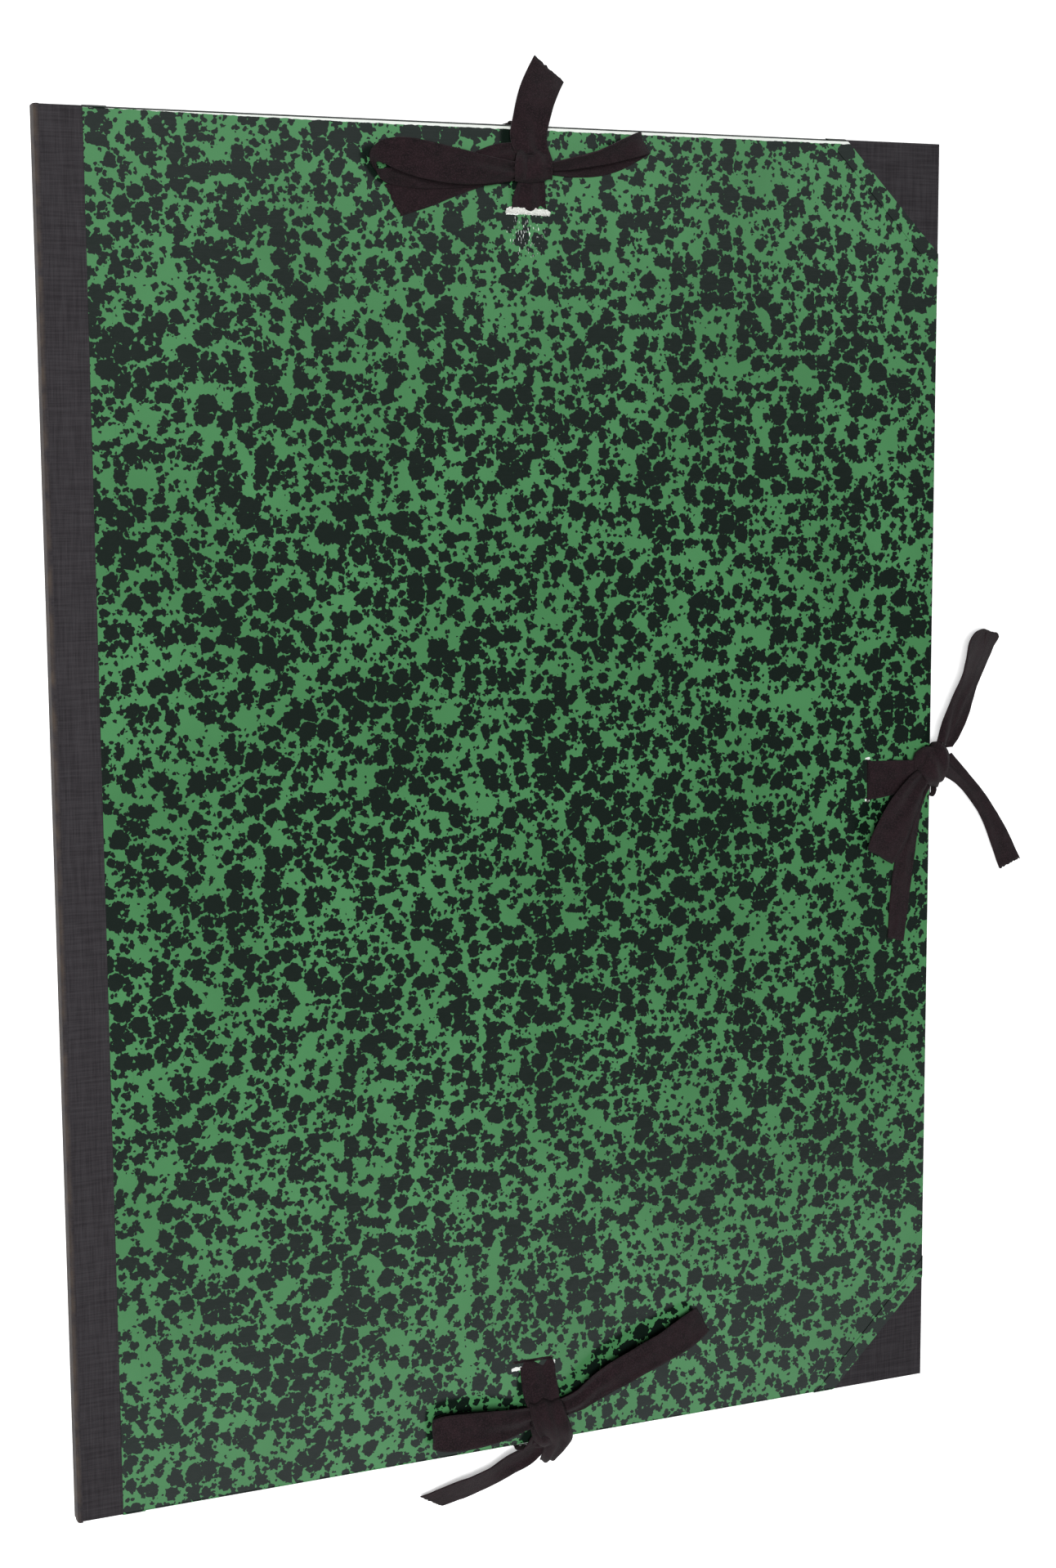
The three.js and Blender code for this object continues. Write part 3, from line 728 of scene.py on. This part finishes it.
def seen_point(tie, across, down, height):
    """The point at a height over the cover that the camera sees there, in its tie's frame."""
    corner = PICK_CORNERS[tie]
    aside = corner[0] + across / PICK_SCALE - PHOTO_WIDTH / 2
    below = corner[1] + down / PICK_SCALE - PHOTO_HEIGHT / 2
    ahead = LENS / SENSOR * PHOTO_HEIGHT
    ray = CAMERA_RIGHT * aside - CAMERA_UP * below - CAMERA_BACK * ahead
    reach = (THICKNESS + height * MM - CAMERA_PLACE.z) / ray.z
    spot = (CAMERA_PLACE + ray * reach) / MM
    at, turn = TIES[tie][:2]
    away = Matrix.Rotation(-math.radians(turn), 2) @ Vector((spot.x - at[0], spot.y - at[1]))
    return [away.x, away.y, height]


def seen_rails(tie, stations):
    """Both edges of a length of ribbon at its stations."""
    rails = []
    for left, left_down, right, right_down, left_height, right_height in stations:
        rails.append([seen_point(tie, left, left_down, left_height),
                      seen_point(tie, right, right_down, right_height)])
    return rails


def make_bow(tie):
    """The tied bow: bunched core, wrapped band, loops, tails and the length from over the edge."""
    tape = Tape(tie)
    centre, radii = KNOTS[tie]
    tape.lump(centre, radii, len(tie))
    tape.area += 1.5 * math.pi * radii[0] * radii[1]
    rails = [
        pair(HALF_RIBBON, 0.55, -0.7),
        pair(HALF_RIBBON, 0.9, 0.9),
        pair(7.5, 0.9, 2.6, centre[0] / 3),
        pair(5.5, centre[1] + 2, 3.6, centre[0]),
    ]
    tape.lay(rails, seed=9.5, wrinkle=0.1, deepest=0.5)
    for number, (name, stations) in enumerate(BOWS[tie].items()):
        rails = seen_rails(tie, stations)
        seed = number + len(tie) / 3
        if name == "band":
            tape.lay(rails, folds=2.0, seed=seed, bulge=1.0, wrinkle=0.35, surplus=17.5,
                     gather=90.0, deepest=0.8)
            continue
        is_tail = "tail" in name and "loop" not in name
        gather = 90.0 if (tie, name) == ("top", "right_loop") else 16.0
        tape.lay(rails, folds=FOLDS.get((tie, name), 1.5), seed=seed, wrinkle=0.35,
                 cut=0.9 if is_tail else 0.0, gather=gather)
    tape.finish(tie + "_bow_ribbon", "front_cover", [tie + "_bow"])


# The stretch of each front ribbon from its slit up to the knot
STRETCHES = {
    "top": [
        (783, 757, 948, 760, -0.6, -0.6), (790, 750, 940, 754, 0.5, 0.5),
        (798, 705, 936, 705, 1.5, 1.5), (812, 660, 934, 662, 3, 3), (825, 630, 931, 630, 4, 4),
        (835, 590, 925, 590, 4.4, 4.4),
    ],
    "side": [
        (285, 668, 283, 838, -0.6, -0.6), (292, 668, 290, 834, 0.5, 0.5),
        (350, 668, 350, 822, 1.2, 1.2), (420, 666, 425, 800, 2.6, 2.6),
        (485, 664, 500, 765, 4.2, 4.2), (545, 655, 560, 730, 4.6, 4.6),
    ],
    "bottom": [
        (680, 422, 524, 445, -0.6, -0.6), (690, 446, 548, 462, 0.5, 0.5),
        (697, 490, 552, 505, 1.5, 1.5), (708, 545, 558, 560, 3, 3), (714, 590, 568, 605, 4, 4),
        (715, 640, 590, 655, 5, 5),
    ],
}


def make_front_ribbon(tie):
    """From the glued end inside the front cover, out of the slit and up to the knot."""
    tape = Tape(tie)
    hidden = [
        pair(HALF_RIBBON, -tape.inset - GLUED_END, -GLUED_DEPTH),
        pair(HALF_RIBBON, -tape.inset, -GLUED_DEPTH),
        pair(HALF_RIBBON, -tape.inset, -0.5),
    ]
    tape.lay(hidden, thickness=0.3, smooth=False, wrinkle=0.0, lowest=-3.0)
    rails = seen_rails(tie, STRETCHES[tie])
    tape.lay(rails, thickness=0.4, seed=4.2 + len(tie), wrinkle=0.2, lowest=-2.0)
    tape.finish("front_" + tie + "_tape", "front_cover", ["front_" + tie + "_ribbon"])


def make_back_ribbon(tie):
    """From the glued end inside the back cover, out of the slit and up past the cover's edge."""
    tape = Tape(tie, 0.0)
    rails = [
        pair(HALF_RIBBON, -tape.inset - GLUED_END, GLUED_DEPTH),
        pair(HALF_RIBBON, -tape.inset, GLUED_DEPTH),
        pair(HALF_RIBBON, -tape.inset, -0.15),
        pair(HALF_RIBBON, 0.45, -0.15),
        pair(HALF_RIBBON, 0.45, 7.0),
    ]
    tape.lay(rails, thickness=0.28, smooth=False, wrinkle=0.0, lowest=-1.0)
    tape.finish("back_" + tie + "_tape", "back_cover", ["back_" + tie + "_ribbon"])


# Ends of the lip along the top slit, and the place and height of its rows, in millimetres
LIP_LEFT = -6.9
LIP_RIGHT = 11.4
LIP_ROWS = [(226.9, 8.02), (227.8, 8.35), (228.7, 8.75), (229.3, 8.9)]
LIP_THICKNESS = 0.12
LIP_TILT = 0.045
LIP_END = 1.5


def make_torn_lip():
    """Paper lifted by the pull of the ribbon along the top slit."""
    across = np.linspace(LIP_LEFT, LIP_RIGHT, 61)
    points = []
    faces = []
    for under in (0.0, LIP_THICKNESS):
        for r, (y, z) in enumerate(LIP_ROWS):
            for x in across:
                ragged = mnoise.noise(Vector((x * 1.3, r * 2.1, 5.0)))
                ragged += 0.5 * mnoise.noise(Vector((x * 3.7, r, 9.0)))
                ends = 1 - min(1, min(x - LIP_LEFT, LIP_RIGHT - x) / LIP_END)
                depth = y - LIP_TILT * (x - 2)
                if r in (0, 3):
                    depth += 0.45 * ragged
                if r > 1:
                    depth -= 0.9 * ends
                height = z - under
                if r > 0:
                    height += 0.12 * ragged
                points.append((x * MM, depth * MM, height * MM))
    count = len(across)
    layer = count * len(LIP_ROWS)
    for r in range(len(LIP_ROWS) - 1):
        for i in range(count - 1):
            a, b = r * count + i, (r + 1) * count + i
            faces.append((a, a + 1, b + 1, b))
            faces.append((layer + a, layer + b, layer + b + 1, layer + a + 1))
    rim = list(range(count))
    rim += [r * count + count - 1 for r in range(1, len(LIP_ROWS))]
    rim += list(range(layer - 2, layer - count - 1, -1))
    rim += [r * count for r in range(len(LIP_ROWS) - 2, 0, -1)]
    for a, b in zip(rim, rim[1:] + rim[:1]):
        faces.append((b, a, layer + a, layer + b))
    mesh = bpy.data.meshes.new("top_slit_lip")
    mesh.from_pydata(points, [], faces)
    mesh.shade_smooth()
    mesh.materials.append(TORN_MATERIAL)
    lip = bpy.data.objects.new("top_slit_lip", mesh)
    bpy.context.collection.objects.link(lip)
    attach(lip, "front_cover")


make_torn_lip()
for tie_name in TIES:
    make_bow(tie_name)
    make_front_ribbon(tie_name)
    make_back_ribbon(tie_name)


# Book cloth over the spine and round both folds

SPINE_CLOTH_THICKNESS = 0.3

# Where each fold begins and ends, in metres
UPPER_FOLD = ((-0.185, 0, 0.0069), (-0.1835, 0, 0.008))
LOWER_FOLD = ((-0.185, 0, 0.0011), (-0.1835, 0, 0.0))


def make_spine_cloth(name, cover, start, end, profile):
    """A strip of cloth of one cross-section along the spine, bending at one fold."""
    outer = np.array(profile, float)
    runs = np.gradient(outer, axis=0)
    inward = np.stack([-runs[:, 1], runs[:, 0]], axis=1)
    inward /= np.linalg.norm(inward, axis=1)[:, None]
    inner = outer + inward * SPINE_CLOTH_THICKNESS
    ring = np.vstack([outer, inner[::-1]])
    stations = np.linspace(-HALF_HEIGHT, HALF_HEIGHT, 41)
    points = []
    faces = []
    for y in stations:
        points += [(x * MM, y, z * MM) for x, z in ring]
    count = len(ring)
    for r in range(len(stations) - 1):
        for c in range(count):
            d = (c + 1) % count
            a, b = r * count, (r + 1) * count
            faces.append((a + c, a + d, b + d, b + c))
    last = (len(stations) - 1) * count
    half = len(outer)
    for c in range(half - 1):
        quad = (c, c + 1, count - 2 - c, count - 1 - c)
        faces.append(quad[::-1])
        faces.append(tuple(last + q for q in quad))
    mesh = bpy.data.meshes.new(name)
    mesh.from_pydata(points, [], faces)
    mesh.validate()
    piece = bpy.data.objects.new(name, mesh)
    bpy.context.collection.objects.link(piece)
    mesh.materials.append(SLOT_MATERIALS["book_cloth"])
    face_outward(mesh)
    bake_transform(piece)
    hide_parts("spine_cloth")


def face_outward(mesh):
    """Outward faces, smooth round the fold and sharp at the cloth's cut edges."""
    work = bmesh.new()
    work.from_mesh(mesh)
    bmesh.ops.recalc_face_normals(work, faces=work.faces)
    work.to_mesh(mesh)
    work.free()
    mesh.shade_smooth()
    mesh.set_sharp_from_angle(angle=math.radians(40))


def fold_profile(sign):
    """Cross-section from the middle of the spine round one fold: X and Z in millimetres."""
    left = -185.0
    top = 8.0
    radius = 1.0
    found = [(left, top / 2), (left, 5.5), (left, top - radius)]
    for k in range(1, 9):
        turn = math.pi / 2 * k / 8
        found.append((left + radius - math.cos(turn), top - radius + math.sin(turn)))
    found.append((left + 1.5, top))
    return [(x, z if sign > 0 else top - z) for x, z in found]


make_spine_cloth("spine_cloth_upper", "front_cover", *UPPER_FOLD, fold_profile(1))
make_spine_cloth("spine_cloth_lower", "back_cover", *LOWER_FOLD, fold_profile(-1))


# Camera

def add_camera():
    camera = bpy.data.objects.new("camera", bpy.data.cameras.new("camera"))
    bpy.context.collection.objects.link(camera)
    turn = Matrix((CAMERA_RIGHT, CAMERA_UP, CAMERA_BACK)).transposed().to_4x4()
    camera.matrix_world = Matrix.Translation(CAMERA_PLACE) @ turn
    camera.data.sensor_width = SENSOR
    camera.data.lens = LENS
    bpy.context.scene.camera = camera


add_camera()
bpy.context.scene.view_settings.view_transform = "Standard"


# Studio: a pale floor, a dome that is white to the camera, and a soft lamp

FLOOR_REACH = 4.0
FLOOR_COLOUR = (0.86, 0.86, 0.86, 1)
DOME_COLOUR = (0.92, 0.97, 1.0, 1)
DOME_BASE = 0.03
TAIL_LEVEL = 1.15
WHITE = (1, 1, 1, 1)
KEY_PLACE = (-1.1, 0.15, 2.6)
KEY_SIZE = (0.82, 0.9)
KEY_POWER = 90


def add_floor():
    mesh = bpy.data.meshes.new("floor")
    ways = ((-1, -1), (1, -1), (1, 1), (-1, 1))
    corners = [(x * FLOOR_REACH, y * FLOOR_REACH, FLOOR_Z) for x, y in ways]
    mesh.from_pydata(corners, [], [(0, 1, 2, 3)])
    floor = bpy.data.objects.new("floor", mesh)
    bpy.context.collection.objects.link(floor)
    material = bpy.data.materials.new("floor")
    nodes = Nodes(material)
    shader = nodes.new("ShaderNodeBsdfPrincipled", {
        "Base Color": FLOOR_COLOUR, "Roughness": 0.9, "Specular IOR Level": 0.0,
        "Emission Color": WHITE, "Emission Strength": 0.45,
    })
    out = nodes.new("ShaderNodeOutputMaterial")
    nodes.put(out.inputs["Surface"], shader.outputs[0])
    mesh.materials.append(material)


def band(nodes, value, begin, full, fade, gone):
    """1 between full and fade, falling to 0 at begin and at gone."""
    rise = nodes.remap(value, begin, full, 0, 1, smooth=True)
    fall = nodes.remap(value, gone, fade, 0, 1, smooth=True)
    return nodes.math("MULTIPLY", rise, fall)


def add_world():
    """White to the camera. For light it is a dome, brighter beyond the head and the tail.

    Slope and lean are how far a direction leans along Y and along X for each unit of height.
    """
    world = bpy.data.worlds.new("studio")
    bpy.context.scene.world = world
    nodes = Nodes(world)
    direction = nodes.new("ShaderNodeTexCoord").outputs["Generated"]
    axes = nodes.new("ShaderNodeSeparateXYZ", {0: direction})
    height = nodes.math("MAXIMUM", axes.outputs[2], 0.05)
    slope = nodes.math("DIVIDE", axes.outputs[1], height)
    lean = nodes.math("DIVIDE", axes.outputs[0], height)
    head = band(nodes, slope, -0.02, 0.2, 0.4, 0.75)
    tail = band(nodes, slope, -0.26, -0.46, -0.7, -1.0)
    bands = nodes.math("ADD", head, nodes.math("MULTIPLY", tail, TAIL_LEVEL))
    bands = nodes.math("MULTIPLY", bands, band(nodes, lean, -0.1, 0.15, 0.9, 1.3))
    level = nodes.math("ADD", bands, DOME_BASE)
    dome = nodes.new("ShaderNodeBackground", {"Color": DOME_COLOUR, "Strength": level})
    white = nodes.new("ShaderNodeBackground", {"Color": WHITE, "Strength": 1.0})
    seen = nodes.new("ShaderNodeLightPath").outputs["Is Camera Ray"]
    both = nodes.new("ShaderNodeMixShader", {0: seen, 1: dome.outputs[0], 2: white.outputs[0]})
    out = nodes.new("ShaderNodeOutputWorld")
    nodes.put(out.inputs["Surface"], both.outputs[0])


def add_lamp(name, place, target, size, power):
    """A soft rectangular lamp that points at the target."""
    lamp = bpy.data.objects.new(name, bpy.data.lights.new(name, "AREA"))
    bpy.context.collection.objects.link(lamp)
    lamp.data.shape = "RECTANGLE"
    lamp.data.size, lamp.data.size_y = size
    lamp.data.energy = power
    aim = Vector(target) - Vector(place)
    lamp.location = place
    lamp.rotation_euler = aim.to_track_quat("-Z", "Y").to_euler()


add_floor()
add_world()
add_lamp("key", KEY_PLACE, (0, 0, 0), KEY_SIZE, KEY_POWER)
